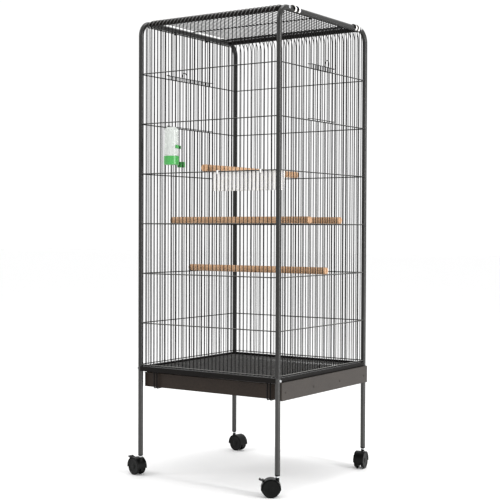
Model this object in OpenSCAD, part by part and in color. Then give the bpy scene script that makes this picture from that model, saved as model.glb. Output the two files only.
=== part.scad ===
// Bird cage on a four-legged stand: wire panels in two bent side tubes, a base with a
// wire floor and a slide-out waste tray, two lift-up doors, perches, a feeder trough,
// a water bottle and four twin-wheel castors.
// The front, with the bottle, faces -Y. The tray slides out to the right, towards +X.
// The origin is on the floor, midway between the four legs.

/* [Overall size] */
// Width over the two side tubes
cage_w = 540; // [520:2:560]
// Depth over the front and rear posts
cage_d = 540; // [520:2:560]
// Height from the floor to the top of the side tubes
cage_h = 1458; // [1450:1:1500]
// Height from the floor to the top of the base rails
base_h = 352; // [350:1:356]

/* [Frame tubes] */
// Outer diameter of the side tubes and the legs
tube_d = 16; // [15:0.5:17]
// Wall of the tubes
tube_wall = 1.2; // [1:0.1:1.5]
// Bend radius of the side tubes at their centre line
bend_r = 42; // [38:1:46]
// Height and width of the square base rails
rail_s = 15; // [14:0.5:15]
// Diameter of the frame bolts
bolt_d = 5; // [4:0.5:5]

/* [Wire panels] */
// Number of upright wires in each panel
wire_n = 34; // [34:2:36]
// Diameter of the upright wires
wire_d = 2.2; // [1.8:0.1:2.4]
// Diameter of the level wires
level_d = 3; // [2.5:0.1:3.2]
// Distance from a post to the first upright wire's centre
end_gap = 16.4; // [14:0.2:18]
// Height of the highest level wire
level_top = 1285.6; // [1280:0.2:1290]
// Distance between level wires
level_step = 159; // [156:0.5:160]
// Number of level wires
level_n = 6; // [6]

/* [Doors] */
// Wire bays that the left door covers
left_door_bays = 17; // [15:2:19]
// Wire bays that the right door covers
right_door_bays = 10; // [8:2:12]
// Bays from the panel's middle to the right door's middle
right_door_shift = -1.5; // [-2.5:1:1.5]
// Height of a door's top wire above the level wire behind it
door_rise = 13; // [10:1:16]
// Width of a door's lifting loop
loop_w = 24; // [20:1:28]
// Distance of the left door's loop from the panel's middle
left_loop_y = -19; // [-40:1:40]
// Distance of the right door's loop from the panel's middle
right_loop_y = -6; // [-20:1:20]

/* [Tray and floor] */
// Bottom of the waste tray above the floor
tray_z = 286.6; // [286:0.2:288]
// Height of the waste tray
tray_h = 44; // [38:1:46]
// Thickness of the tray and face sheet
sheet_t = 0.8; // [0.8:0.1:1.5]
// Distance of the tray's face from the posts' centres
face_reach = 15; // [14:0.5:18]
// Diameter of the tray hanger wire
hanger_d = 3.5; // [3:0.1:3.5]

/* [Perches] */
// Diameter of the perches
perch_d = 22; // [18:1:24]
// Width of the slot in a perch's end
perch_slot = 3.4; // [3:0.1:4]

/* [Feeder and bottle] */
// Length of the feeder trough
feeder_w = 232; // [200:2:236]
// Height of the feeder trough
feeder_h = 58; // [50:1:64]
// Depth of the feeder trough at its rim
feeder_d = 52; // [45:1:60]
// Outer diameter of the water bottle
bottle_d = 44; // [40:1:48]
// Height of the water bottle above its base
bottle_h = 90; // [80:1:100]

/* [Castors] */
// Wheel diameter
wheel_d = 54; // [50:1:54]
// Width of each wheel
wheel_w = 10.5; // [9:0.5:12]
// Distance from the swivel axis to the axle
castor_trail = 19; // [17:0.5:20]
// Directions that the castors trail in: front left, front right, rear left, rear right
castor_yaw = [166, 214, -9, 280]; // [-180:1:360]

/* [Hidden] */
$fn = 48;

// Gap left between welded or touching solids
touch = 0.05;
// Running clearance beside moving wires and pins
run = 0.3;
// Overlap that carries a cut past a surface
past = 1;

tube_r = tube_d / 2;
bore_r = tube_r - tube_wall;
post_x = cage_w / 2 - tube_r;
post_y = cage_d / 2 - tube_r;
top_z = cage_h - tube_r;
bend_y = post_y - bend_r;
bend_z = top_z - bend_r;

wire_r = wire_d / 2;
level_r = level_d / 2;
pitch_x = (2 * (post_x - tube_r - end_gap)) / (wire_n - 1);
pitch_y = (2 * (post_y - tube_r - end_gap)) / (wire_n - 1);
// Upright wires stand on the posts' centre plane and level wires lie outside them
level_off = wire_r + level_r + touch;
levels = [for (k = [0 : level_n - 1]) level_top - k * level_step];
foot_wire_z = base_h + 5;
wire_foot_z = base_h + 2;
// Head wires of the side panels lie just under the straight part of the side tubes
head_wire_z = top_z - tube_r - level_r - run;
head_wire_y = bend_y + 4;
// Roof wires lie on the crossbars
roof_z = cage_h + wire_r + touch;
// Level wires end inside the posts, in holes with this radius
wire_hole_r = level_r + 0.4;
wire_reach = 3;

// Legs end above the castors, and the side tubes plug into them
leg_z0 = 67;
spigot_r = bore_r - 0.15;
spigot_wall = 1;
spigot_len = 25;
spigot_collar = 2;
rail_z = base_h - rail_s / 2;
bolt_z = rail_z;
bolt_end_x = post_x - 26;
bolt_hole_x = post_x - 30;
ledge_w = 9;
ledge_t = 1.5;
ledge_z = base_h - rail_s + 1;

door_z0 = levels[1] + 5;
door_z1 = levels[0] + door_rise;
door_wire_r = 1.25;
door_x = level_off + level_r + run + wire_r;
door_bar_x = door_x + wire_r + door_wire_r + touch;
hook_r = wire_r + door_wire_r + 0.55;

tray_y = post_y - tube_r - 4;
lip_r = 2;
tray_x0 = -(post_x - tube_r);
face_x = post_x + face_reach;
tray_x1 = face_x - sheet_t - touch;
face_z0 = tray_z - sheet_t - 0.2;
face_z1 = base_h - rail_s + 2.5;
hanger_r = hanger_d / 2;
hanger_z = tray_z - hanger_r - 0.25;
hanger_spread = 216;
hanger_xs = [for (s = [-1, 1]) (tray_x0 + face_x) / 2 + s * hanger_spread];
rivet_ys = [-240, -80, 80, 240];
rivet_z = tray_z + tray_h / 2;
rivet_r = 1.6;

// Doorways from bay edge to bay edge, and the roof hooks' places along the side tubes
left_door_y = [-left_door_bays / 2 * pitch_y, left_door_bays / 2 * pitch_y];
right_door_y = [(right_door_shift - right_door_bays / 2) * pitch_y,
    (right_door_shift + right_door_bays / 2) * pitch_y];
hook_ys = [-192, -170, 181, 199];
hook_wire_r = 1.9;
screw_y = 6 * pitch_y;
screw_x = post_x - 1.5;
screw_r = 1.6;

perch_r = perch_d / 2;
perch_end = level_off + 3.5;
perch_slot_depth = perch_end + wire_r + 0.6;

feeder_x = 133.6;
feeder_top = levels[2];
feeder_y = -(post_y - wire_r - 1.2);
feeder_wall = 1.8;
// The feeder's hooks hang in the middle of wire bays
feeder_hook_x = [3 * pitch_x, 14 * pitch_x];

// The bottle stands outside the front panel, with its spout between two wires
bottle_x = -8 * pitch_x - 1.3;
bottle_z = 1018.5;
bottle_wall = 1.5;
bottle_dome = 12;
bottle_plug = 6;
base_r = bottle_d / 2 + 1.5;
bottle_y = -(post_y + level_off + level_r + base_r + 0.5);
base_cup_h = 27;
clip_z = 1042;
clip_h = 10;

wheel_r = wheel_d / 2;
wheel_in = 6;
axle_r = 2.5;
fender_r = wheel_r + 1.2;
fender_t = 1.8;
fender_w = wheel_in + wheel_w + 0.5;
boss_r = 5.7;
boss_top = 59;
stem_r = 4;
brake_angle = 44;
brake_r = fender_r + fender_t + 4;
castor_at = [[-1, -1], [1, -1], [-1, 1], [1, 1]];

graphite = [0.27, 0.27, 0.26];
wire_grey = [0.2, 0.2, 0.2];
tray_brown = [0.25, 0.23, 0.21];
face_brown = [0.3, 0.27, 0.25];
zinc = [0.75, 0.76, 0.77];
pine = [0.83, 0.64, 0.43];
pure_white = [0.95, 0.95, 0.94];
leaf_green = [0.28, 0.74, 0.32];
clear_blue = [0.85, 0.9, 0.92, 0.4];
black = [0.08, 0.08, 0.08];

// ---------- shared shapes ----------

function wire_at(i, pitch) = (i - (wire_n - 1) / 2) * pitch;

module rod_x(x0, x1, y, z, r) {
    translate([x0, y, z]) rotate([0, 90, 0]) cylinder(r = r, h = x1 - x0);
}

module rod_y(y0, y1, x, z, r) {
    translate([x, y1, z]) rotate([90, 0, 0]) cylinder(r = r, h = y1 - y0);
}

module rod_z(z0, z1, x, y, r) {
    translate([x, y, z0]) cylinder(r = r, h = z1 - z0);
}

// Ring segment in the YZ plane, with angles from +Y towards +Z
module arc_yz(ring_r, r, a0, a1) {
    rotate([90, 0, 90]) rotate([0, 0, a0])
        rotate_extrude(angle = a1 - a0) translate([ring_r, 0]) circle(r = r);
}

// Ring segment in the XY plane, with angles from +X towards +Y
module arc_xy(ring_r, r, a0, a1) {
    rotate([0, 0, a0]) rotate_extrude(angle = a1 - a0) translate([ring_r, 0]) circle(r = r);
}

// Ring segment in the XZ plane, with angles from +X towards +Z
module arc_xz(ring_r, r, a0, a1) {
    rotate([90, 0, 0]) rotate([0, 0, a0])
        rotate_extrude(angle = a1 - a0) translate([ring_r, 0]) circle(r = r);
}

// Closed outline of a side tube, at radius r, down to height z0
module side_outline(side, r, z0) {
    translate([side * post_x, 0, 0]) {
        rod_y(-bend_y, bend_y, 0, top_z, r);
        for (s = [-1, 1]) {
            rod_z(z0, bend_z, 0, s * post_y, r);
            translate([0, s * bend_y, bend_z]) arc_yz(bend_r, r, s > 0 ? 0 : 90, s > 0 ? 90 : 180);
        }
    }
}

// ---------- frame ----------

// Holes in one side tube for the level wires, bolts and screws
module side_holes(side) {
    inward = -side;
    for (s = [-1, 1]) {
        for (z = concat(levels, [foot_wire_z])) {
            rod_x(min(side * post_x, side * post_x + inward * (tube_r + past)),
                max(side * post_x, side * post_x + inward * (tube_r + past)),
                s * (post_y + level_off), z, wire_hole_r);
            rod_y(s > 0 ? post_y - tube_r - past : -post_y,
                s > 0 ? post_y : -(post_y - tube_r - past),
                side * (post_x + level_off), z, wire_hole_r);
        }
        rod_x(side * post_x - tube_r - past, side * post_x + tube_r + past,
            s * bend_y, top_z, bolt_d / 2 + 0.2);
        rod_x(side * post_x - tube_r - past, side * post_x + tube_r + past,
            s * post_y, bolt_z, bolt_d / 2 + 0.2);
        rod_z(top_z - tube_r - past, top_z, side * screw_x, s * screw_y, screw_r + 0.1);
    }
}

module side_tube(side) {
    color(graphite) difference() {
        union() {
            difference() {
                side_outline(side, tube_r, base_h + touch);
                side_outline(side, bore_r, base_h + spigot_collar);
            }
            for (s = [-1, 1])
                rod_z(base_h - spigot_len, base_h + 0.5, side * post_x, s * post_y, spigot_r);
        }
        for (s = [-1, 1])
            rod_z(base_h - spigot_len - past, base_h + spigot_collar + past, side * post_x,
                s * post_y, spigot_r - spigot_wall);
        side_holes(side);
    }
}

module left_side_tube() {
    side_tube(-1);
}

module right_side_tube() {
    side_tube(1);
}

module leg(sx, sy) {
    color(graphite) difference() {
        rod_z(leg_z0, base_h, sx * post_x, sy * post_y, tube_r);
        rod_z(leg_z0 - past, base_h + past, sx * post_x, sy * post_y, bore_r);
        rod_x(sx * post_x - tube_r - past, sx * post_x + tube_r + past, sy * post_y,
            bolt_z, bolt_d / 2 + 0.2);
    }
}

module front_left_leg() {
    leg(-1, -1);
}

module front_right_leg() {
    leg(1, -1);
}

module rear_left_leg() {
    leg(-1, 1);
}

module rear_right_leg() {
    leg(1, 1);
}

// Moulded plug that closes each leg and holds the castor stem
module leg_plugs() {
    rim = 2;
    plug_h = 24;
    color(black) for (at = castor_at)
        translate([at[0] * post_x, at[1] * post_y, leg_z0]) difference() {
            union() {
                translate([0, 0, -rim - touch]) cylinder(r = tube_r, h = rim);
                translate([0, 0, -2 * rim - touch]) cylinder(r1 = tube_r - 2.5, r2 = tube_r, h = rim);
                translate([0, 0, -1]) cylinder(r = bore_r - 0.1, h = plug_h);
            }
            translate([0, 0, -2 * rim - past]) cylinder(r = stem_r + 0.1, h = plug_h + 4 * rim);
        }
}

// Square rail along X between two legs, with closed ends and an inner ledge
module cross_rail(side) {
    x1 = post_x - 2;
    y0 = side * post_y;
    plug = 14;
    ledge_x = post_x - 20;
    color(graphite) difference() {
        union() {
            difference() {
                translate([-x1, y0 - rail_s / 2, base_h - rail_s]) cube([2 * x1, rail_s, rail_s]);
                translate([-x1 + plug, y0 - rail_s / 2 + tube_wall, base_h - rail_s + tube_wall])
                    cube([2 * (x1 - plug), rail_s - 2 * tube_wall, rail_s - 2 * tube_wall]);
            }
            translate([-ledge_x, side > 0 ? y0 - rail_s / 2 - ledge_w : y0 + rail_s / 2 - 1,
                ledge_z]) cube([2 * ledge_x, ledge_w + 1, ledge_t]);
        }
        for (s = [-1, 1]) {
            rod_z(base_h - rail_s - past, base_h + past, s * post_x, y0, tube_r + touch);
            rod_x(min(s * post_x, s * bolt_hole_x), max(s * post_x, s * bolt_hole_x),
                y0, bolt_z, bolt_d / 2 + touch);
        }
    }
}

module front_rail() {
    cross_rail(-1);
}

module rear_rail() {
    cross_rail(1);
}

// Square rail along Y, welded between the legs of one side
module side_rail(side) {
    y1 = post_y - rail_s / 2 - touch;
    color(graphite) difference() {
        translate([side * post_x - rail_s / 2, -y1, base_h - rail_s]) cube([rail_s, 2 * y1, rail_s]);
        translate([side * post_x - rail_s / 2 + tube_wall, -y1 - past, base_h - rail_s + tube_wall])
            cube([rail_s - 2 * tube_wall, 2 * (y1 + past), rail_s - 2 * tube_wall]);
        for (s = [-1, 1])
            rod_z(base_h - rail_s - past, base_h + past, side * post_x, s * post_y, tube_r + touch);
    }
}

module left_rail() {
    side_rail(-1);
}

module right_rail() {
    side_rail(1);
}

// Low round-head bolt along X, with its head outside the tube on the given side
module frame_bolt(side, y, z) {
    head = 2.6;
    x1 = side * (post_x + tube_r + touch);
    rod_x(min(x1, x1 + side * head), max(x1, x1 + side * head), y, z, bolt_d * 0.9);
    rod_x(min(x1 + side * 0.5, side * bolt_end_x), max(x1 + side * 0.5, side * bolt_end_x),
        y, z, bolt_d / 2);
}

module rail_bolts() {
    color(zinc) for (at = castor_at) frame_bolt(at[0], at[1] * post_y, bolt_z);
}

module crossbar_bolts() {
    color(zinc) for (at = castor_at) frame_bolt(at[0], at[1] * bend_y, top_z);
}

// Round bar along X between the two side tubes at the top
module crossbar(side) {
    x1 = post_x - 3;
    bore_x = x1 - 32;
    color(graphite) difference() {
        rod_x(-x1, x1, side * bend_y, top_z, tube_r);
        rod_x(-bore_x, bore_x, side * bend_y, top_z, bore_r);
        for (s = [-1, 1]) {
            side_outline(s, tube_r + touch, bend_z - past);
            rod_x(min(s * post_x, s * bolt_hole_x), max(s * post_x, s * bolt_hole_x),
                side * bend_y, top_z, bolt_d / 2 + touch);
        }
    }
}

module front_crossbar() {
    crossbar(-1);
}

module rear_crossbar() {
    crossbar(1);
}

// Screws and washers that hold the side panels' head wires under the side tubes
module panel_screws() {
    washer_t = 1.6;
    head_h = 2.4;
    shank = 10;
    color(black) for (sx = [-1, 1]) for (sy = [-1, 1])
        translate([sx * screw_x, sy * screw_y, head_wire_z - level_r - run]) {
            translate([0, 0, -washer_t]) cylinder(r = 6, h = washer_t);
            translate([0, 0, -washer_t - head_h]) cylinder(r = 3.5, h = head_h + 0.1);
            cylinder(r = screw_r, h = shank);
        }
}

// ---------- wire panels ----------

// Level wires of a front or rear panel, along X
module levels_along_x(side) {
    for (z = concat(levels, [foot_wire_z]))
        rod_x(-post_x + wire_reach, post_x - wire_reach, side * (post_y + level_off), z, level_r);
}

// Front or rear panel: upright wires curve in at the top, over the crossbar
module bent_panel(side) {
    color(wire_grey) {
        levels_along_x(side);
        for (i = [0 : wire_n - 1]) {
            x = wire_at(i, pitch_x);
            rod_z(wire_foot_z, roof_z - bend_r - touch, x, side * post_y, wire_r);
            translate([x, side * bend_y, roof_z - bend_r])
                arc_yz(bend_r, wire_r, side > 0 ? 0 : 90, side > 0 ? 90 : 180);
        }
    }
}

module front_panel() {
    bent_panel(-1);
}

module rear_panel() {
    bent_panel(1);
}

// Top of a side panel's upright wire, under the side tube's straight part or its bend
function side_wire_top(y) = abs(y) < bend_y + wire_r + touch ? head_wire_z + level_r
    : bend_z + sqrt(pow(bend_r - tube_r - run, 2) - pow(abs(y) + wire_r - bend_y, 2));

// Side panel with a doorway from bay edge y0 to bay edge y1, between two level wires
module side_panel(side, y0, y1) {
    x = side * post_x;
    color(wire_grey) {
        for (z = concat(levels, [foot_wire_z]))
            rod_y(-post_y + wire_reach, post_y - wire_reach, x + side * level_off, z, level_r);
        rod_y(-head_wire_y, head_wire_y, x + side * level_off, head_wire_z, level_r);
        for (i = [0 : wire_n - 1]) {
            y = wire_at(i, pitch_y);
            if (y > y0 + 1 && y < y1 - 1) {
                rod_z(wire_foot_z, levels[1] + level_r, x, y, wire_r);
                rod_z(levels[0] - level_r, side_wire_top(y), x, y, wire_r);
            } else {
                rod_z(wire_foot_z, side_wire_top(y), x, y, wire_r);
            }
        }
    }
}

module left_panel() {
    side_panel(-1, left_door_y[0], left_door_y[1]);
}

module right_panel() {
    side_panel(1, right_door_y[0], right_door_y[1]);
}

// Roof: wires front to back, one mid wire between the side tubes, and hook wires over them
module roof_panel() {
    over_r = tube_r + hook_wire_r + 0.2;
    hook_z = roof_z - wire_r - hook_wire_r - touch;
    // Where a level cross wire meets the ring that goes round a side tube
    elbow = 180 - asin((hook_z - top_z) / over_r);
    elbow_x = post_x + over_r * cos(elbow);
    mid_z = roof_z - wire_r - level_r - touch;
    mid_x = post_x - sqrt(pow(tube_r, 2) - pow(mid_z - level_r - top_z, 2)) - 0.2;
    color(wire_grey) {
        for (i = [0 : wire_n - 1])
            rod_y(-bend_y + touch, bend_y - touch, wire_at(i, pitch_x), roof_z, wire_r);
        rod_x(-mid_x, mid_x, 0, mid_z, level_r);
        for (y = hook_ys) {
            rod_x(-elbow_x, elbow_x, y, hook_z, hook_wire_r - touch);
            for (s = [-1, 1])
                translate([s * post_x, y, top_z])
                    arc_xz(over_r, hook_wire_r, s > 0 ? -20 : 180 - elbow, s > 0 ? elbow : 200);
        }
    }
}

// White clips on the tubes' outer side that stop the roof hooks from sliding along them
module roof_clips() {
    clip_w = 7.5;
    clip_t = 1.9;
    low_end = -58;
    high_end = 118;
    color(pure_white) for (s = [-1, 1]) for (y = hook_ys)
        translate([s * post_x, y + hook_wire_r + 2.5 + clip_w, top_z]) rotate([90, 0, 0])
            rotate([0, 0, s > 0 ? low_end : 180 - high_end]) rotate_extrude(angle = high_end - low_end)
                translate([tube_r + 0.1, 0]) square([clip_t, clip_w]);
}

// ---------- doors ----------

// Wire along Y on a door, with an end hook around the panel wire at each jamb
module door_bar(y0, y1, z) {
    union() {
        rod_y(y0 + hook_r - door_wire_r, y1 - hook_r + door_wire_r, door_bar_x, z, door_wire_r);
        for (s = [-1, 1]) {
            jamb = s > 0 ? y1 : y0;
            rod_x(0, door_bar_x, jamb - s * hook_r, z, door_wire_r - 0.05);
            translate([0, jamb, z]) arc_xy(hook_r, door_wire_r - 0.05, s > 0 ? 70 : 90,
                s > 0 ? 270 : 290);
        }
    }
}

// Lifting loop that leans outwards from the door's top wire
module door_loop(y, z) {
    half = loop_w / 2;
    lean = 8;
    translate([door_bar_x + (2 * door_wire_r + touch) / cos(lean), y, z]) rotate([0, lean, 0]) union() {
        for (s = [-1, 1]) rod_z(-1, 8, 0, s * half, door_wire_r);
        translate([0, 0, 8]) arc_yz(half, door_wire_r, 0, 180);
    }
}

// Lift-up door on the +X side; its wires continue the panel's wires over the doorway
module door(y0, y1, loop_y) {
    bays = round((y1 - y0) / pitch_y);
    for (k = [1 : bays - 1]) rod_z(door_z0 - 4, door_z1 + 1, door_x, y0 + k * pitch_y, wire_r);
    door_bar(y0, y1, door_z0);
    door_bar(y0, y1, door_z1);
    door_loop(loop_y, door_z1);
}

module left_door() {
    color(wire_grey) translate([-post_x, 0, 0]) mirror([1, 0, 0])
        door(left_door_y[0], left_door_y[1], left_loop_y);
}

module right_door() {
    color(wire_grey) translate([post_x, 0, 0])
        door(right_door_y[0], right_door_y[1], right_loop_y);
}

// ---------- floor grate and tray ----------

module floor_grate() {
    edge_r = 2;
    bar_r = 1.25;
    edge = post_x - rail_s / 2 - 2.5;
    z = ledge_z + ledge_t + edge_r + 0.1;
    bar_z = z + edge_r + bar_r + touch;
    bar_n = 36;
    color(wire_grey) {
        for (y = [-edge, -edge / 3, edge / 3, edge]) rod_x(-edge, edge, y, z, edge_r);
        for (i = [0 : bar_n - 1])
            rod_y(-edge, edge, -edge + 2 + i * (2 * edge - 4) / (bar_n - 1), bar_z, bar_r);
    }
}

// Hairpin wire that hangs from a rail and turns in under the tray
module hairpin(x, side) {
    gap = 5.5;
    turn = 4;
    hang_y = post_y - 4;
    reach = 16;
    translate([x, side * hang_y, 0]) mirror([0, side > 0 ? 0 : 1, 0]) {
        for (s = [-1, 1]) {
            rod_z(hanger_z + turn, base_h - rail_s - touch, s * gap, 0, hanger_r);
            translate([s * gap, -turn, hanger_z + turn]) arc_yz(turn, hanger_r, -90, 0);
            rod_y(-turn - reach, -turn, s * gap, hanger_z, hanger_r);
        }
        translate([0, -turn - reach, hanger_z]) arc_xy(gap, hanger_r, 180, 360);
    }
}

module tray_hangers() {
    color(wire_grey) for (x = hanger_xs) for (side = [-1, 1]) hairpin(x, side);
}

module waste_tray() {
    lip_z = tray_z + tray_h;
    color(tray_brown) difference() {
        union() {
            translate([tray_x0, -tray_y, tray_z])
                cube([tray_x1 - tray_x0, 2 * tray_y, tray_h]);
            for (s = [-1, 1])
                rod_x(tray_x0, tray_x1 - 2, s * tray_y, lip_z, lip_r);
            rod_y(-tray_y, tray_y, tray_x0 + lip_r, lip_z, lip_r);
        }
        translate([tray_x0 + sheet_t, -tray_y + sheet_t, tray_z + sheet_t])
            cube([tray_x1 - tray_x0 - 2 * sheet_t, 2 * (tray_y - sheet_t), tray_h + 10]);
        for (y = rivet_ys) rod_x(tray_x1 - 5, tray_x1 + past, y, rivet_z, rivet_r + touch);
    }
}

// Folded face of the tray, outside the right-hand posts
module tray_face() {
    half = post_y;
    depth = 6;
    color(face_brown) difference() {
        translate([face_x - depth, -half, face_z0]) cube([depth, 2 * half, face_z1 - face_z0]);
        translate([face_x - depth - past, -half + sheet_t, face_z0 + sheet_t])
            cube([depth + past - sheet_t, 2 * (half - sheet_t), face_z1 - face_z0 - 2 * sheet_t]);
        for (y = rivet_ys) rod_x(face_x - 5, face_x + past, y, rivet_z, rivet_r + touch);
    }
}

module tray_rivets() {
    inner = tray_x1 - sheet_t;
    head_t = 1.1;
    color(face_brown) for (y = rivet_ys) {
        rod_x(inner - 0.5, face_x + 0.5, y, rivet_z, rivet_r);
        rod_x(inner - touch - head_t, inner - touch, y, rivet_z, 2 * rivet_r);
        rod_x(face_x + touch, face_x + touch + head_t, y, rivet_z, 2 * rivet_r);
    }
}

// ---------- perches ----------

// Round wooden perch along Y whose slotted ends sit over an upright wire
module perch_along_y(half) {
    end = half + perch_end;
    difference() {
        rod_y(-end, end, 0, 0, perch_r);
        for (s = [-1, 1])
            translate([-perch_slot / 2, s > 0 ? end - perch_slot_depth : -end - past, -perch_r - past])
                cube([perch_slot, perch_slot_depth + past, perch_d + 2 * past]);
    }
}

function perch_z(level) = levels[level] + level_r + perch_r + touch;

module upper_perch() {
    color(pine) translate([-pitch_x / 2, 0, perch_z(2)]) perch_along_y(post_y);
}

module side_perch(y, level) {
    color(pine) translate([0, y, perch_z(level)]) rotate([0, 0, 90]) perch_along_y(post_x);
}

module front_perch() {
    side_perch(-6.5 * pitch_y, 3);
}

module rear_perch() {
    side_perch(6.5 * pitch_y, 3);
}

module lower_perch() {
    side_perch(0.5 * pitch_y, 4);
}

// ---------- feeder ----------

// Open trough whose back wall leans in towards its floor
module trough_body(inset, z0, z1) {
    lean = 8;
    translate([feeder_x - feeder_w / 2 + inset, 0, 0]) rotate([90, 0, 90])
        linear_extrude(height = feeder_w - 2 * inset)
            polygon([
                [feeder_y + inset, z0],
                [feeder_y + feeder_d - lean - inset, z0],
                [feeder_y + feeder_d - inset, z1],
                [feeder_y + inset, z1]
            ]);
}

module feeder_trough() {
    z0 = feeder_top - feeder_h;
    strap_w = 5;
    strap_t = 2;
    wire_y = -(post_y + level_off);
    hook_z = feeder_top + level_r + run;
    out_y = wire_y - level_r - run - strap_t;
    color(pure_white) {
        difference() {
            trough_body(0, z0, feeder_top);
            trough_body(feeder_wall, z0 + feeder_wall, feeder_top + past);
        }
        translate([feeder_x - 1, feeder_y + 1, z0 + 1]) cube([2, feeder_d - 12, feeder_h - 12]);
        for (x = feeder_hook_x) translate([x - strap_w / 2, 0, 0]) {
            translate([0, feeder_y, feeder_top - 12]) cube([strap_w, strap_t, 12 + level_r + run + 1]);
            translate([0, out_y, hook_z]) cube([strap_w, feeder_y + strap_t - out_y, strap_t]);
            translate([0, out_y, hook_z - 9]) cube([strap_w, strap_t, 10]);
        }
    }
}

// ---------- water bottle ----------

// Solid bottle shape of the given radius, with a rounded shoulder ending at height top
module bottle_shape(r, corner, bottom, top) {
    translate([0, 0, bottom]) cylinder(r = r, h = top - corner - bottom);
    translate([0, 0, top - corner - 0.01]) rotate_extrude() union() {
        square([r - corner, corner]);
        intersection() {
            translate([r - corner, 0]) circle(r = corner);
            square([r + past, corner + past]);
        }
    }
}

module bottle_body() {
    r = bottle_d / 2;
    color(clear_blue) translate([bottle_x, bottle_y, bottle_z]) difference() {
        bottle_shape(r, bottle_dome, -bottle_plug, bottle_h);
        bottle_shape(r - bottle_wall, bottle_dome - bottle_wall, -bottle_plug - past,
            bottle_h - bottle_wall);
    }
}

// Screw base of the bottle with a spout that reaches between the wires to a drinking cup
module bottle_base() {
    z0 = bottle_z - base_cup_h;
    spout_w = 7.6;
    spout_h = 11;
    spout_wall = 1.5;
    cup_y = -(post_y - 21);
    cup_z = z0 - 6;
    cup_r = 12.5;
    cup_wall = 1.7;
    cup_h = 17;
    color(leaf_green) difference() {
        union() {
            translate([bottle_x, bottle_y, z0]) cylinder(r = base_r, h = base_cup_h - touch);
            translate([bottle_x - spout_w / 2, bottle_y, z0])
                cube([spout_w, cup_y - bottle_y - cup_r + 3, spout_h]);
            translate([bottle_x, cup_y, cup_z]) cylinder(r = cup_r, h = cup_h);
        }
        translate([bottle_x, bottle_y, bottle_z - bottle_plug - 0.2])
            cylinder(r = bottle_d / 2 + touch, h = 10);
        translate([bottle_x, bottle_y, z0 + 3]) cylinder(r = bottle_d / 2 - 6, h = base_cup_h);
        translate([bottle_x - spout_w / 2 + spout_wall, bottle_y, z0 + 2])
            cube([spout_w - 2 * spout_wall, cup_y - bottle_y, spout_h - 4]);
        translate([bottle_x, cup_y, cup_z + cup_wall]) cylinder(r = cup_r - cup_wall, h = cup_h);
    }
}

// Spring clip around the bottle, hooked behind two upright wires
module bottle_clip() {
    ring_in = bottle_d / 2 + 0.1;
    ring_t = 1.3;
    neck_w = 5;
    // The necks pass the level wires' plane and end in toes behind the upright wires
    toe_y = -(post_y - wire_r - 0.6);
    toe_t = 2;
    toe_w = 11;
    mid_wire = -8.5 * pitch_x;
    color(leaf_green) union() {
        translate([bottle_x, bottle_y, clip_z]) rotate([0, 0, -20])
            rotate_extrude(angle = 220) translate([ring_in, 0]) square([ring_t, clip_h]);
        for (s = [-1, 1]) {
            neck_x = mid_wire + s * pitch_x / 2;
            // The neck starts inside the ring's wall, clear of the bottle
            near_x = max(0, abs(neck_x - bottle_x) - neck_w / 2);
            start_y = bottle_y + sqrt(pow(ring_in + 0.3, 2) - pow(near_x, 2));
            translate([neck_x - neck_w / 2, start_y, clip_z])
                cube([neck_w, toe_y + toe_t - start_y, clip_h]);
            translate([neck_x + (s > 0 ? 0 : -toe_w), toe_y, clip_z]) cube([toe_w, toe_t, clip_h]);
        }
    }
}

// ---------- castors ----------

// Moves castor parts to their leg and turns them; a castor trails along its own +X
module castor_place(k) {
    translate([castor_at[k][0] * post_x, castor_at[k][1] * post_y, 0])
        rotate([0, 0, castor_yaw[k]]) children();
}

module castor_hood(k, brake) {
    web = 4.8;
    color(black) castor_place(k) difference() {
        union() {
            translate([castor_trail, 0, wheel_r]) rotate([90, 0, 0]) {
                translate([0, 0, -fender_w]) rotate([0, 0, -8]) rotate_extrude(angle = 196)
                    translate([fender_r, 0]) square([fender_t, 2 * fender_w]);
                translate([0, 0, -web]) linear_extrude(height = 2 * web) intersection() {
                    circle(r = fender_r + fender_t / 2);
                    translate([-50, -14]) square([100, 60]);
                }
            }
            translate([0, 0, 24]) cylinder(r = boss_r, h = boss_top - 24);
            if (brake) brake_ears();
        }
        translate([castor_trail, 20, wheel_r]) rotate([90, 0, 0]) cylinder(r = axle_r + touch, h = 40);
        translate([0, 0, 30]) cylinder(r = stem_r + 0.15, h = 40);
    }
}

module brake_pivot() {
    translate([castor_trail + brake_r * cos(brake_angle), 0, wheel_r + brake_r * sin(brake_angle)])
        children();
}

// Ears that stand out of the fender with a pin between them
module brake_ears() {
    ear = 2;
    ear_out = 9;
    foot = 7;
    foot_w = 6;
    brake_pivot() rotate([90, 0, 0]) {
        for (y = [-ear_out, ear_out - ear]) translate([0, 0, y]) {
            cylinder(r = 3.4, h = ear);
            rotate([0, 0, brake_angle]) translate([-foot, -foot_w / 2, 0]) cube([foot, foot_w, ear]);
        }
        translate([0, 0, 1 - ear_out]) cylinder(r = 1.5, h = 2 * (ear_out - 1));
    }
}

module castor_brake(k) {
    slope = 20;
    pad_l = 7;
    pad_t = 3.6;
    pad_w = 18;
    color(black) castor_place(k) brake_pivot() rotate([90, 0, 0]) difference() {
        union() {
            translate([0, 0, -6.5]) linear_extrude(height = 13) union() {
                circle(r = 3);
                rotate([0, 0, slope]) translate([0, -1.5]) square([8, 3]);
            }
            rotate([0, 0, slope]) translate([5, -pad_t / 2, -pad_w / 2]) cube([pad_l, pad_t, pad_w]);
        }
        translate([0, 0, -10]) cylinder(r = 1.7, h = 20);
    }
}

module castor_stem(k) {
    color(zinc) castor_place(k) union() {
        translate([0, 0, 31]) cylinder(r = stem_r, h = 57);
        translate([0, 0, boss_top + 0.3]) cylinder(r = 5.4, h = 3);
    }
}

module castor_axle(k) {
    half = wheel_in + wheel_w - 1.5;
    color(zinc) castor_place(k) rod_y(-half, half, castor_trail, wheel_r, axle_r);
}

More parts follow.
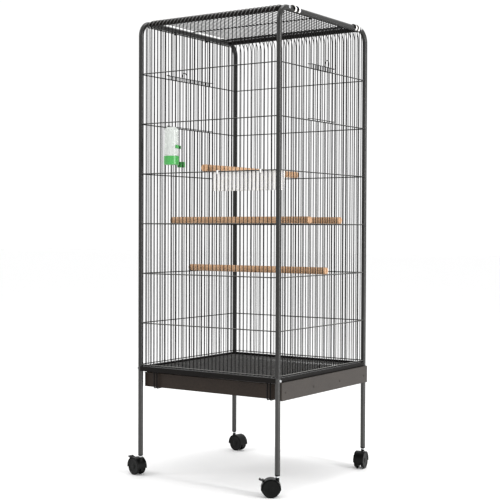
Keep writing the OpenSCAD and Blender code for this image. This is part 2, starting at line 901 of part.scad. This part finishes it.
// Wheel with a chamfered tread, a recessed face and a raised hub that caps the axle
module castor_wheel(k, side) {
    bore = axle_r + 0.1;
    color(black) castor_place(k) translate([castor_trail, side * wheel_in, wheel_r])
        rotate([side > 0 ? -90 : 90, 0, 0]) rotate_extrude() polygon([
            [bore, 0],
            [wheel_r - 5, 0],
            [wheel_r - 1.5, 1.2],
            [wheel_r, 3.5],
            [wheel_r, wheel_w - 2],
            [wheel_r - 1.5, wheel_w - 0.4],
            [wheel_r - 5, wheel_w],
            [wheel_r - 7.5, wheel_w - 1.2],
            [9, wheel_w - 1.2],
            [7.5, wheel_w + 0.2],
            [0, wheel_w + 0.8],
            [0, wheel_w - 1],
            [bore, wheel_w - 1]
        ]);
}

module front_left_hood() {
    castor_hood(0, true);
}

module front_left_stem() {
    castor_stem(0);
}

module front_left_axle() {
    castor_axle(0);
}

module front_left_wheel_a() {
    castor_wheel(0, -1);
}

module front_left_wheel_b() {
    castor_wheel(0, 1);
}

module front_left_brake() {
    castor_brake(0);
}

module front_right_hood() {
    castor_hood(1, true);
}

module front_right_stem() {
    castor_stem(1);
}

module front_right_axle() {
    castor_axle(1);
}

module front_right_wheel_a() {
    castor_wheel(1, -1);
}

module front_right_wheel_b() {
    castor_wheel(1, 1);
}

module front_right_brake() {
    castor_brake(1);
}

module rear_left_hood() {
    castor_hood(2, false);
}

module rear_left_stem() {
    castor_stem(2);
}

module rear_left_axle() {
    castor_axle(2);
}

module rear_left_wheel_a() {
    castor_wheel(2, -1);
}

module rear_left_wheel_b() {
    castor_wheel(2, 1);
}

module rear_right_hood() {
    castor_hood(3, false);
}

module rear_right_stem() {
    castor_stem(3);
}

module rear_right_axle() {
    castor_axle(3);
}

module rear_right_wheel_a() {
    castor_wheel(3, -1);
}

module rear_right_wheel_b() {
    castor_wheel(3, 1);
}

left_side_tube();
right_side_tube();
front_left_leg();
front_right_leg();
rear_left_leg();
rear_right_leg();
leg_plugs();
front_rail();
rear_rail();
left_rail();
right_rail();
rail_bolts();
front_crossbar();
rear_crossbar();
crossbar_bolts();
panel_screws();
front_panel();
rear_panel();
left_panel();
right_panel();
roof_panel();
roof_clips();
left_door();
right_door();
floor_grate();
tray_hangers();
waste_tray();
tray_face();
tray_rivets();
feeder_trough();
upper_perch();
front_perch();
rear_perch();
lower_perch();
bottle_body();
bottle_base();
bottle_clip();
front_left_hood();
front_left_stem();
front_left_axle();
front_left_wheel_a();
front_left_wheel_b();
front_left_brake();
front_right_hood();
front_right_stem();
front_right_axle();
front_right_wheel_a();
front_right_wheel_b();
front_right_brake();
rear_left_hood();
rear_left_stem();
rear_left_axle();
rear_left_wheel_a();
rear_left_wheel_b();
rear_right_hood();
rear_right_stem();
rear_right_axle();
rear_right_wheel_a();
rear_right_wheel_b();
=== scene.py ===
"""Looks for the bird cage on its stand: wire grids, paint, wood, plastics, floor, light and camera.

Lengths are metres in the row frame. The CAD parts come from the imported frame; the wire grids are
rebuilt here along the same lines, with coated, slightly uneven wires and weld spots.
"""

import math
import random

import bmesh
import bpy
import numpy as np
from mathutils import Matrix, Vector


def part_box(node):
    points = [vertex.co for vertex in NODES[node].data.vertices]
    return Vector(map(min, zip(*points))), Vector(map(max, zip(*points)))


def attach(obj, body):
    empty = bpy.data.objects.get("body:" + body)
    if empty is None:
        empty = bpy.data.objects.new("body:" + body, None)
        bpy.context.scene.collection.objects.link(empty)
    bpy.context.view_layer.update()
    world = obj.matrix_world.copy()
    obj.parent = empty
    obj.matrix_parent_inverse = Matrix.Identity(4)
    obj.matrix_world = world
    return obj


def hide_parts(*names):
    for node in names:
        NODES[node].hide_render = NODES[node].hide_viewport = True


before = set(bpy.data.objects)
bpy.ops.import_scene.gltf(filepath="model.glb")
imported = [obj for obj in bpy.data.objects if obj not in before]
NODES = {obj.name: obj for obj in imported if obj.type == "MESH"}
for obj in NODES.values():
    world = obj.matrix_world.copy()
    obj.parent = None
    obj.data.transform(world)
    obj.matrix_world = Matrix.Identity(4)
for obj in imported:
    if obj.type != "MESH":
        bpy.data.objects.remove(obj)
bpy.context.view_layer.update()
CORNERS = ("front_left", "front_right", "rear_left", "rear_right")
# Corner points closer than this are one point
SAME_POINT = 1e-6


# ---------- node helpers for materials ----------


def new_material(name):
    """A material with an empty node tree but for its output and one Principled shader."""
    material = bpy.data.materials.new(name)
    material.use_nodes = True
    tree = material.node_tree
    tree.nodes.clear()
    output = tree.nodes.new("ShaderNodeOutputMaterial")
    shader = tree.nodes.new("ShaderNodeBsdfPrincipled")
    tree.links.new(shader.outputs["BSDF"], output.inputs["Surface"])
    return material, tree, shader


def coordinates(tree, scale=(1, 1, 1), turn=(0, 0, 0)):
    """Object coordinates, stretched, so that a pattern has a real size in metres."""
    source = tree.nodes.new("ShaderNodeTexCoord")
    mapping = tree.nodes.new("ShaderNodeMapping")
    mapping.inputs["Scale"].default_value = scale
    mapping.inputs["Rotation"].default_value = turn
    tree.links.new(source.outputs["Object"], mapping.inputs["Vector"])
    return mapping.outputs["Vector"]


def noise(tree, vector, scale, detail=3.0, roughness=0.55, distortion=0.0):
    node = tree.nodes.new("ShaderNodeTexNoise")
    node.inputs["Scale"].default_value = scale
    node.inputs["Detail"].default_value = detail
    node.inputs["Roughness"].default_value = roughness
    node.inputs["Distortion"].default_value = distortion
    tree.links.new(vector, node.inputs["Vector"])
    return node.outputs["Fac"]


def cells(tree, vector, scale):
    """Smooth rounded cells, as in hammered paint."""
    node = tree.nodes.new("ShaderNodeTexVoronoi")
    node.feature = "SMOOTH_F1"
    node.inputs["Scale"].default_value = scale
    node.inputs["Smoothness"].default_value = 0.6
    tree.links.new(vector, node.inputs["Vector"])
    return node.outputs["Distance"]


def ramp(tree, factor, stops):
    """A colour ramp with (place, colour) stops."""
    node = tree.nodes.new("ShaderNodeValToRGB")
    elements = node.color_ramp.elements
    while len(elements) > len(stops):
        elements.remove(elements[-1])
    while len(elements) < len(stops):
        elements.new(0.5)
    for element, (place, colour) in zip(elements, stops):
        element.position = place
        element.color = (*colour, 1)
    tree.links.new(factor, node.inputs["Fac"])
    return node.outputs["Color"]


def spread(tree, factor, low, high):
    """Maps a 0-1 factor's middle range onto low to high."""
    node = tree.nodes.new("ShaderNodeMapRange")
    node.inputs["From Min"].default_value = 0.3
    node.inputs["From Max"].default_value = 0.7
    node.inputs["To Min"].default_value = low
    node.inputs["To Max"].default_value = high
    tree.links.new(factor, node.inputs["Value"])
    return node.outputs["Result"]


def bump(tree, shader, height, distance, strength, after=None):
    """Adds a bump in metres to the shader, on top of an earlier one."""
    node = tree.nodes.new("ShaderNodeBump")
    node.inputs["Strength"].default_value = strength
    node.inputs["Distance"].default_value = distance
    tree.links.new(height, node.inputs["Height"])
    if after is not None:
        tree.links.new(after, node.inputs["Normal"])
    tree.links.new(node.outputs["Normal"], shader.inputs["Normal"])
    return node.outputs["Normal"]


def facing_up(tree, low, high):
    """0 where the surface's slope is below low, 1 where it faces up more than high."""
    geometry = tree.nodes.new("ShaderNodeNewGeometry")
    parts = tree.nodes.new("ShaderNodeSeparateXYZ")
    node = tree.nodes.new("ShaderNodeMapRange")
    node.inputs["From Min"].default_value = low
    node.inputs["From Max"].default_value = high
    tree.links.new(geometry.outputs["Normal"], parts.inputs["Vector"])
    tree.links.new(parts.outputs["Z"], node.inputs["Value"])
    return node.outputs["Result"]


def shade(colour, amount):
    """The colour made lighter or darker by a factor."""
    return tuple(min(1.0, c * amount) for c in colour)


# ---------- materials ----------


def hammered_paint(name, colour, rough=0.34, gloss=0.4, cell=420):
    """Stoved hammer paint: small dimples with fine flakes, worn duller in patches."""
    material, tree, shader = new_material(name)
    place = coordinates(tree)
    dimples = cells(tree, place, cell)
    patches = noise(tree, place, 14, 4)
    flakes = noise(tree, place, 2600, 2)
    colour_map = ramp(
        tree,
        dimples,
        [(0.05, shade(colour, 1.35)), (0.3, colour), (0.75, shade(colour, 0.72))],
    )
    tint = tree.nodes.new("ShaderNodeMix")
    tint.data_type = "RGBA"
    tint.blend_type = "MULTIPLY"
    tint.inputs["Factor"].default_value = 0.55
    tree.links.new(colour_map, tint.inputs["A"])
    worn = ramp(tree, patches, [(0.3, (0.8, 0.8, 0.8)), (0.7, (1.12, 1.1, 1.07))])
    tree.links.new(worn, tint.inputs["B"])
    tree.links.new(tint.outputs["Result"], shader.inputs["Base Color"])
    tree.links.new(spread(tree, flakes, rough - 0.07, rough + 0.12), shader.inputs["Roughness"])
    shader.inputs["Metallic"].default_value = 0.2
    shader.inputs["Specular IOR Level"].default_value = gloss
    first = bump(tree, shader, dimples, 0.0004, 0.35)
    bump(tree, shader, flakes, 0.0001, 0.2, first)
    return material


def wire_coating(name, colour, gloss=0.15, top_highlight_level=0.32):
    """Dipped coating on drawn wire: uneven along its length, with a painted highlight, a lighter colour,
    on the upward side.
    """
    material, tree, shader = new_material(name)
    place = coordinates(tree)
    runs = noise(tree, place, 55, 4)
    fine = noise(tree, place, 1500, 2)
    coat = ramp(tree, runs, [(0.32, shade(colour, 0.7)), (0.55, colour), (0.72, shade(colour, 1.5))])
    # Painted highlight: the upward-facing side of each wire is made lighter, standing in for light from
    # above
    painted_top_highlight = ramp(tree, fine, [(0.35, (top_highlight_level * 0.8, top_highlight_level * 0.78, top_highlight_level * 0.72)), (0.65, (top_highlight_level,) * 3)])
    mix = tree.nodes.new("ShaderNodeMix")
    mix.data_type = "RGBA"
    tree.links.new(facing_up(tree, 0.35, 0.8), mix.inputs["Factor"])
    tree.links.new(coat, mix.inputs["A"])
    tree.links.new(painted_top_highlight, mix.inputs["B"])
    tree.links.new(mix.outputs["Result"], shader.inputs["Base Color"])
    tree.links.new(spread(tree, fine, 0.3, 0.5), shader.inputs["Roughness"])
    shader.inputs["Specular IOR Level"].default_value = gloss
    bump(tree, shader, fine, 0.00008, 0.3)
    return material


def plated_steel(name, colour):
    """Zinc plate with faint turning marks and duller patches."""
    material, tree, shader = new_material(name)
    rings = noise(tree, coordinates(tree, (60, 60, 2600)), 1.0, 2)
    patches = noise(tree, coordinates(tree), 130, 3)
    tree.links.new(
        ramp(tree, patches, [(0.3, shade(colour, 0.72)), (0.7, colour)]), shader.inputs["Base Color"]
    )
    tree.links.new(spread(tree, patches, 0.2, 0.42), shader.inputs["Roughness"])
    shader.inputs["Metallic"].default_value = 1.0
    bump(tree, shader, rings, 0.00008, 0.35)
    return material


def softwood(name, grain_scale, late, early):
    """Bare turned softwood with growth rings drawn out along the perch, pores and handling marks."""
    material, tree, shader = new_material(name)
    along = coordinates(tree, grain_scale)
    rings = noise(tree, along, 9, 5, 0.6, 0.9)
    fibres = noise(tree, along, 60, 4, 0.7)
    marks = noise(tree, coordinates(tree), 22, 3)
    grain = ramp(
        tree,
        rings,
        [(0.3, late), (0.44, early), (0.52, shade(late, 1.12)), (0.6, shade(early, 1.05)), (0.75, late)],
    )
    tint = tree.nodes.new("ShaderNodeMix")
    tint.data_type = "RGBA"
    tint.blend_type = "MULTIPLY"
    tint.inputs["Factor"].default_value = 0.6
    tree.links.new(grain, tint.inputs["A"])
    tree.links.new(
        ramp(tree, marks, [(0.3, (0.82, 0.76, 0.68)), (0.6, (1.0, 1.0, 1.0))]), tint.inputs["B"]
    )
    tree.links.new(tint.outputs["Result"], shader.inputs["Base Color"])
    tree.links.new(spread(tree, fibres, 0.5, 0.72), shader.inputs["Roughness"])
    first = bump(tree, shader, rings, 0.0004, 0.3)
    bump(tree, shader, fibres, 0.0002, 0.4, first)
    return material


def moulded_plastic(name, colour, rough, grain=1400, glow=0.0, variation=0.1, gloss=0.5):
    """Injection-moulded plastic: fine spark grain, slight flow marks and a soft inner glow."""
    material, tree, shader = new_material(name)
    place = coordinates(tree)
    flow = noise(tree, place, 24, 3, 0.5, 0.6)
    fine = noise(tree, place, grain, 2)
    tree.links.new(
        ramp(tree, flow, [(0.3, shade(colour, 1 - variation)), (0.7, shade(colour, 1 + variation))]),
        shader.inputs["Base Color"],
    )
    tree.links.new(spread(tree, fine, rough - 0.06, rough + 0.08), shader.inputs["Roughness"])
    shader.inputs["Subsurface Weight"].default_value = glow
    shader.inputs["Subsurface Radius"].default_value = (0.004, 0.004, 0.003)
    shader.inputs["Specular IOR Level"].default_value = gloss
    bump(tree, shader, fine, 0.00012, 0.25)
    return material


def clear_plastic(name, colour):
    """Thin milky bottle wall with faint haze and moulding ripples."""
    material, tree, shader = new_material(name)
    place = coordinates(tree)
    haze = noise(tree, place, 60, 3)
    ripples = noise(tree, coordinates(tree, (1, 1, 0.35)), 60, 1)
    tree.links.new(spread(tree, haze, 0.12, 0.25), shader.inputs["Roughness"])
    tree.links.new(
        ramp(tree, haze, [(0.3, shade(colour, 0.94)), (0.7, colour)]), shader.inputs["Base Color"]
    )
    shader.inputs["Transmission Weight"].default_value = 0.35
    shader.inputs["IOR"].default_value = 1.3
    shader.inputs["Alpha"].default_value = 0.75
    bump(tree, shader, ripples, 0.0003, 0.12)
    return material


def pale_floor(name):
    """White studio paper."""
    material, tree, shader = new_material(name)
    fibre = noise(tree, coordinates(tree), 9, 3)
    tree.links.new(
        ramp(tree, fibre, [(0.3, (0.95, 0.95, 0.95)), (0.7, (0.965, 0.965, 0.965))]),
        shader.inputs["Base Color"],
    )
    shader.inputs["Roughness"].default_value = 0.75
    shader.inputs["Specular IOR Level"].default_value = 0.2
    return material


TUBE = hammered_paint("tube_paint", (0.012, 0.0118, 0.011), 0.32, 0.5)
# The tube paint made lighter for the legs: painted light, standing in for the light the white floor
# throws up onto them
LEG_PAINTED_LIGHT = hammered_paint("leg_paint_painted_light", (0.028, 0.0275, 0.0265), 0.34, 0.6)
RAIL = hammered_paint("rail_paint", (0.005, 0.004, 0.0035), 0.42, 0.12)
TRAY = hammered_paint("tray_paint", (0.024, 0.0165, 0.012), 0.42, 0.2)
FACE = hammered_paint("tray_face_paint", (0.036, 0.029, 0.024), 0.36, 0.4)
WIRE = wire_coating("wire_coating", (0.003, 0.003, 0.0035), 0.1)
# The wire coating with a lighter base, painting in the grate's highlights, more gloss and a weaker
# painted highlight on top
GRATE_COATING_PAINTED_LIGHTER = wire_coating("grate_coating_painted_highlight", (0.006, 0.0055, 0.005), 0.3, 0.16)
ZINC = plated_steel("zinc_plate", (0.72, 0.73, 0.74))
# Screws get only a faint painted highlight on their upward side
SCREW = wire_coating("black_screw", (0.004, 0.004, 0.004), top_highlight_level=0.02)
PALE_WOOD = (0.54, 0.35, 0.21)
WARM_WOOD = (0.33, 0.175, 0.085)
WOOD_ALONG_X = softwood("pine_along_x", (3, 40, 40), WARM_WOOD, PALE_WOOD)
WOOD_ALONG_Y = softwood("pine_along_y", (40, 3, 40), shade(WARM_WOOD, 1.15), shade(PALE_WOOD, 1.1))
WHITE = moulded_plastic("white_plastic", (0.84, 0.82, 0.8), 0.35, 1100, 0.08, 0.02)
GREEN = moulded_plastic("green_plastic", (0.05, 0.31, 0.065), 0.3, 1300, 0.1)
BLACK = moulded_plastic("black_plastic", (0.002, 0.0022, 0.002), 0.38, 1600, gloss=0.15)
WHEEL = moulded_plastic("wheel_plastic", (0.003, 0.0033, 0.003), 0.42, 900, gloss=0.12)
BOTTLE = clear_plastic("bottle_plastic", (0.76, 0.79, 0.76))
FLOOR = pale_floor("studio_paper")


# ---------- CAD nodes ----------


SHARP_EDGE = math.radians(38)
BEVEL_EDGE = math.radians(50)
FLAT_WITHIN = math.radians(0.5)


def dress(node, material, bevel=0.0):
    """Gives a CAD node its material, smooth rounds and, on folded or moulded parts, soft edges."""
    piece = NODES[node]
    mesh = piece.data
    mesh.materials.clear()
    mesh.materials.append(material)
    imported_normals = mesh.attributes.get("custom_normal")
    if imported_normals:
        mesh.attributes.remove(imported_normals)
    mesh.shade_smooth()
    weld = piece.modifiers.new("weld", "WELD")
    weld.merge_threshold = SAME_POINT
    if bevel:
        whole = piece.modifiers.new("whole_faces", "DECIMATE")
        whole.decimate_type = "DISSOLVE"
        whole.angle_limit = FLAT_WITHIN
        edge = piece.modifiers.new("soft_edges", "BEVEL")
        edge.width = bevel
        edge.segments = 2
        edge.limit_method = "ANGLE"
        edge.angle_limit = BEVEL_EDGE
    sharp = piece.modifiers.new("sharp_edges", "EDGE_SPLIT")
    sharp.split_angle = SHARP_EDGE
    sharp.use_edge_sharp = False
    flat = piece.modifiers.new("flat_faces", "WEIGHTED_NORMAL")
    flat.weight = 100


def dress_all():
    dress("left_side_tube", TUBE)
    dress("right_side_tube", TUBE)
    # The crossbars take the darkest paint, the rail paint: painted shade for the bars in shadow under
    # the wires bent over them
    dress("front_crossbar", RAIL)
    dress("rear_crossbar", RAIL)
    for corner in CORNERS:
        dress(f"{corner}_leg", LEG_PAINTED_LIGHT)
        dress(f"{corner}_hood", BLACK)
        dress(f"{corner}_stem", ZINC)
        dress(f"{corner}_axle", ZINC)
        dress(f"{corner}_wheel_a", WHEEL)
        dress(f"{corner}_wheel_b", WHEEL)
    for corner in CORNERS[:2]:
        dress(f"{corner}_brake", BLACK)
    for node in ("front_rail", "rear_rail", "left_rail", "right_rail"):
        dress(node, RAIL, 0.0012)
    dress("leg_plugs", BLACK)
    dress("rail_bolts", ZINC, 0.001)
    dress("crossbar_bolts", ZINC, 0.001)
    dress("panel_screws", SCREW, 0.0005)
    dress("roof_clips", WHITE, 0.0004)
    dress("left_door", WIRE)
    dress("right_door", WIRE)
    dress("tray_hangers", WIRE)
    dress("waste_tray", TRAY, 0.0004)
    dress("tray_face", FACE, 0.0008)
    dress("tray_rivets", FACE, 0.0004)
    dress("feeder_trough", WHITE, 0.0007)
    dress("upper_perch", WOOD_ALONG_Y, 0.0012)
    for node in ("front_perch", "rear_perch", "lower_perch"):
        dress(node, WOOD_ALONG_X, 0.0012)
    dress("bottle_body", BOTTLE)
    dress("bottle_base", GREEN, 0.0004)
    dress("bottle_clip", GREEN, 0.0002)


# ---------- wire grids ----------

WIRE_SIDES = 10
WELD_SIDES = 8
# Thickness of the dipped coat, and how far and how often a wire strays from its line
COAT = 0.0002
WAVE = 0.00012
WAVE_STEP = 0.035
# A wire wider than this in its CAD mesh is a bent one
STRAIGHT_WIDTH = 0.006
# Wires are welded where their surfaces are this close, or overlap by no more than this,
# and cross at most this far past an end
WELD_GAP = 0.0008
WELD_OVERLAP = 0.0001
WELD_PAST_END = 0.001
END_FACE = 1e-5


class Grid:
    """Collects wires and weld spots into one mesh."""

    def __init__(self, seed):
        self.vertices = []
        self.faces = []
        self.random = random.Random(seed)

    def tube(self, path, bare_radius, coat=COAT):
        """A round wire with its dipped coat and rounded-off ends, along a path of points."""
        radius = bare_radius + coat
        points = [Vector(p) for p in path]
        # Two short end rings round the cut ends off
        start_dir = (points[1] - points[0]).normalized()
        end_dir = (points[-1] - points[-2]).normalized()
        soft = radius * 0.35
        rings = [(points[0], 0.7), (points[0] + start_dir * soft, 1.0)]
        rings += [(p, 1.0) for p in points[1:-1]]
        rings += [(points[-1] - end_dir * soft, 1.0), (points[-1], 0.7)]
        side = start_dir.orthogonal().normalized()
        first = len(self.vertices)
        for k, (centre, share) in enumerate(rings):
            before = rings[max(0, k - 1)][0]
            after = rings[min(len(rings) - 1, k + 1)][0]
            along = (after - before).normalized()
            side = (side - along * side.dot(along)).normalized()
            other = along.cross(side)
            for n in range(WIRE_SIDES):
                turn = 2 * math.pi * n / WIRE_SIDES
                offset = side * math.cos(turn) + other * math.sin(turn)
                self.vertices.append(centre + offset * radius * share)
        for k in range(len(rings) - 1):
            low = first + k * WIRE_SIDES
            for n in range(WIRE_SIDES):
                m = (n + 1) % WIRE_SIDES
                self.faces.append(
                    (low + n, low + m, low + WIRE_SIDES + m, low + WIRE_SIDES + n)
                )
        last = first + (len(rings) - 1) * WIRE_SIDES
        self.faces.append(tuple(range(first + WIRE_SIDES - 1, first - 1, -1)))
        self.faces.append(tuple(range(last, last + WIRE_SIDES)))

    def straight(self, start, end):
        """Points along a straight wire that is never quite straight."""
        start, end = Vector(start), Vector(end)
        count = max(2, int((end - start).length / WAVE_STEP))
        side = (end - start).normalized().orthogonal().normalized()
        other = (end - start).normalized().cross(side)
        points = [start]
        for k in range(1, count):
            drift = side * self.random.uniform(-WAVE, WAVE) + other * self.random.uniform(-WAVE, WAVE)
            points.append(start.lerp(end, k / count) + drift)
        points.append(end)
        return points

    def weld(self, place, normal, size):
        """A small squashed bead where two wires are spot welded."""
        normal = Vector(normal).normalized()
        side = normal.orthogonal().normalized()
        other = normal.cross(side)
        first = len(self.vertices)
        for height, share in ((-0.55, 0.6), (0.0, 1.0), (0.55, 0.6)):
            for n in range(WELD_SIDES):
                turn = 2 * math.pi * n / WELD_SIDES
                offset = side * math.cos(turn) + other * math.sin(turn)
                self.vertices.append(Vector(place) + (normal * height + offset * share) * size)
        for ring in range(2):
            low = first + ring * WELD_SIDES
            for n in range(WELD_SIDES):
                m = (n + 1) % WELD_SIDES
                self.faces.append((low + n, low + m, low + WELD_SIDES + m, low + WELD_SIDES + n))
        self.faces.append(tuple(range(first + WELD_SIDES - 1, first - 1, -1)))
        self.faces.append(tuple(range(first + 2 * WELD_SIDES, first + 3 * WELD_SIDES)))

    def piece(self, name, node, body, material):
        """The finished mesh, in place of its CAD node."""
        mesh = bpy.data.meshes.new(name)
        mesh.from_pydata([tuple(v) for v in self.vertices], [], self.faces)
        mesh.validate()
        for polygon in mesh.polygons:
            polygon.use_smooth = len(polygon.vertices) == 4
        mesh.materials.append(material)
        made = bpy.data.objects.new(name, mesh)
        bpy.context.scene.collection.objects.link(made)
        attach(made, body)
        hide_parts(node)
        return made


def loose_parts(node):
    """The CAD node's separate wires, each as an array of its corner points."""
    work = bmesh.new()
    work.from_mesh(NODES[node].data)
    bmesh.ops.remove_doubles(work, verts=work.verts, dist=SAME_POINT)
    work.verts.ensure_lookup_table()
    seen = set()
    parts = []
    for start in work.verts:
        if start.index in seen:
            continue
        seen.add(start.index)
        stack = [start]
        part = []
        while stack:
            vertex = stack.pop()
            part.append(tuple(vertex.co))
            for edge in vertex.link_edges:
                other = edge.other_vert(vertex)
                if other.index not in seen:
                    seen.add(other.index)
                    stack.append(other)
        parts.append(np.array(part))
    work.free()
    return parts


def straight_wires(node):
    """(start, end, radius) of each straight wire in a CAD node, and the parts that are bent."""
    wires = []
    bent = []
    for part in loose_parts(node):
        low, high = part.min(0), part.max(0)
        size = high - low
        axis = int(np.argmax(size))
        across = [k for k in range(3) if k != axis]
        if max(size[across]) > STRAIGHT_WIDTH:
            bent.append(part)
            continue
        # The end ring's corners lie on the wire's true surface
        ring = part[part[:, axis] < low[axis] + END_FACE]
        centre = ring.mean(0)
        radius = float(np.linalg.norm((ring - centre)[:, across], axis=1).max())
        start = centre.copy()
        end = centre.copy()
        start[axis], end[axis] = low[axis], high[axis]
        wires.append((Vector(start), Vector(end), radius, axis))
    return wires, bent


def within(place, low, high):
    """Whether a crossing lies along a wire or just past its end."""
    return low - WELD_PAST_END < place < high + WELD_PAST_END


def crossings(grid, wires):
    """Weld spots wherever two wires of different direction touch side by side."""
    for i, (start_a, end_a, radius_a, axis_a) in enumerate(wires):
        for start_b, end_b, radius_b, axis_b in wires[i + 1 :]:
            if axis_a == axis_b:
                continue
            off = 3 - axis_a - axis_b
            gap = abs(start_a[off] - start_b[off]) - radius_a - radius_b
            if gap > WELD_GAP or gap < -WELD_OVERLAP:
                continue
            if not within(start_b[axis_a], start_a[axis_a], end_a[axis_a]):
                continue
            if not within(start_a[axis_b], start_b[axis_b], end_b[axis_b]):
                continue
            toward = 1 if start_b[off] > start_a[off] else -1
            place = Vector((0, 0, 0))
            place[axis_a] = start_b[axis_a]
            place[axis_b] = start_a[axis_b]
            place[off] = start_a[off] + toward * radius_a
            normal = Vector((0, 0, 0))
            normal[off] = 1
            grid.weld(place, normal, min(radius_a, radius_b) * grid.random.uniform(0.95, 1.2))


BEND_STEPS = 14
HOOK_STEPS = 18
HOOK_TIP = math.radians(-20)


def bend_path(part):
    """The centre line of a wire that curves in at the top, from its CAD mesh."""
    # The bend starts level with its centre and ends above it
    x = float((part[:, 0].min() + part[:, 0].max()) / 2)
    low = part[part[:, 2] < part[:, 2].min() + END_FACE].mean(0)
    side = 1 if low[1] > 0 else -1
    centre_z = float(part[:, 2].min())
    tube_low, tube_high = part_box("front_crossbar")
    bar_y = abs(tube_low.y + tube_high.y) / 2
    radius = abs(float(low[1])) - bar_y
    offsets = part[:, 1:] - np.array([side * bar_y, centre_z])
    last = float(np.arctan2(offsets[:, 1], side * offsets[:, 0]).max())
    # The end face is square to the wire, so its corners all lie at the last angle
    angles = [last * (k + 1) / BEND_STEPS for k in range(BEND_STEPS)]
    return [
        Vector((x, side * (bar_y + radius * math.cos(a)), centre_z + radius * math.sin(a)))
        for a in angles
    ]


def wall_grid(node, seed):
    """Front, rear or side panel, with bends where the CAD has them."""
    grid = Grid(seed)
    wires, bent = straight_wires(node)
    bends = {round(float(part[:, 0].mean()), 3): bend_path(part) for part in bent}
    for start, end, radius, axis in wires:
        path = grid.straight(start, end)
        if axis == 2 and bends:
            path += bends[round(start.x, 3)]
        grid.tube(path, radius)
    crossings(grid, wires)
    return grid.piece(f"{node}_wires", node, "cage", WIRE)


def hook_path(part, under):
    """A roof wire that lies just under the height given and hooks over both side tubes."""
    y = float((part[:, 1].min() + part[:, 1].max()) / 2)
    tube_low, tube_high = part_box("right_side_tube")
    tube_x = (tube_low.x + tube_high.x) / 2
    bar_z = tube_high.z - (tube_high.x - tube_low.x) / 2
    wire_radius = float(part[:, 1].max() - part[:, 1].min()) / 2
    reach = float(part[:, 0].max()) - wire_radius - tube_x
    elbow = math.pi - math.asin((under - wire_radius - bar_z) / reach)
    over = [HOOK_TIP + (elbow - HOOK_TIP) * k / HOOK_STEPS for k in range(HOOK_STEPS + 1)]
    right = [Vector((tube_x + reach * math.cos(a), y, bar_z + reach * math.sin(a))) for a in over]
    left = [Vector((-p.x, p.y, p.z)) for p in reversed(right)]
    return right + left, wire_radius


def roof_grid(seed):
    """Roof wires, with the hook wires that hold on to the side tubes."""
    grid = Grid(seed)
    wires, bent = straight_wires("roof_panel")
    for start, end, radius, _ in wires:
        grid.tube(grid.straight(start, end), radius)
    roof_low = min(start.z - radius for start, _, radius, axis in wires if axis == 1)
    for part in bent:
        path, radius = hook_path(part, roof_low)
        grid.tube(path, radius, 0)
    crossings(grid, wires)
    return grid.piece("roof_panel_wires", "roof_panel", "cage", WIRE)


def floor_grid(seed):
    """The grate above the tray."""
    grid = Grid(seed)
    wires, _ = straight_wires("floor_grate")
    for start, end, radius, _ in wires:
        grid.tube(grid.straight(start, end), radius)
    crossings(grid, wires)
    return grid.piece("floor_grate_wires", "floor_grate", "cage", GRATE_COATING_PAINTED_LIGHTER)


# ---------- studio ----------

CAMERA_PLACE = (2.064, -3.055, 0.792)
CAMERA_TURN = 34.27
CAMERA_TILT = -1.052
CAMERA_ROLL = 0.213
CAMERA_LENS = 81.28
FLOOR_SIZE = 60
WORLD_STRENGTH = 1.04


def add_camera():
    """Camera at the photograph's viewing angle, turned left, tilted and rolled by small angles."""
    turn, tilt, roll = (math.radians(a) for a in (CAMERA_TURN, CAMERA_TILT, CAMERA_ROLL))
    level = Vector((math.cos(turn), math.sin(turn), 0))
    ahead = Vector((-math.sin(turn) * math.cos(tilt), math.cos(turn) * math.cos(tilt), math.sin(tilt)))
    above = level.cross(ahead)
    right = level * math.cos(roll) + above * math.sin(roll)
    up = above * math.cos(roll) - level * math.sin(roll)
    data = bpy.data.cameras.new("camera")
    data.lens = CAMERA_LENS
    data.sensor_width = 36
    data.clip_start = 0.05
    data.clip_end = 60
    camera = bpy.data.objects.new("camera", data)
    camera.matrix_world = Matrix(
        [[right[k], up[k], -ahead[k], CAMERA_PLACE[k]] for k in range(3)] + [[0, 0, 0, 1]]
    )
    bpy.context.scene.collection.objects.link(camera)
    bpy.context.scene.camera = camera


def add_floor():
    bpy.ops.mesh.primitive_plane_add(size=FLOOR_SIZE)
    floor = bpy.context.object
    floor.name = "floor"
    floor.data.materials.append(FLOOR)


def add_area_light(name, place, target, width, height, power):
    """A soft box of the given width and height in metres that faces the target."""
    data = bpy.data.lights.new(name, "AREA")
    data.shape = "RECTANGLE"
    data.size = width
    data.size_y = height
    data.energy = power
    light = bpy.data.objects.new(name, data)
    light.location = place
    light.rotation_euler = (Vector(target) - Vector(place)).to_track_quat("-Z", "Y").to_euler()
    bpy.context.scene.collection.objects.link(light)


def add_world():
    """Even white surroundings."""
    world = bpy.data.worlds.new("studio")
    world.use_nodes = True
    back = world.node_tree.nodes["Background"]
    back.inputs["Color"].default_value = (1, 1, 1, 1)
    back.inputs["Strength"].default_value = WORLD_STRENGTH
    bpy.context.scene.world = world
    bpy.context.scene.view_settings.view_transform = "Standard"


def add_studio():
    add_world()
    add_floor()
    middle = (0, 0, 0.75)
    add_area_light("key", (-2.4, -2.6, 3.0), middle, 1.0, 1.0, 30)
    add_area_light("strip", (3.4, -0.4, 1.2), middle, 0.35, 2.6, 90)
    add_area_light("top", (0.2, 0.4, 4.2), middle, 1.2, 1.2, 40)


dress_all()
for panel_seed, panel in enumerate(("front_panel", "rear_panel", "left_panel", "right_panel")):
    wall_grid(panel, panel_seed)
roof_grid(5)
floor_grid(6)
add_studio()
add_camera()
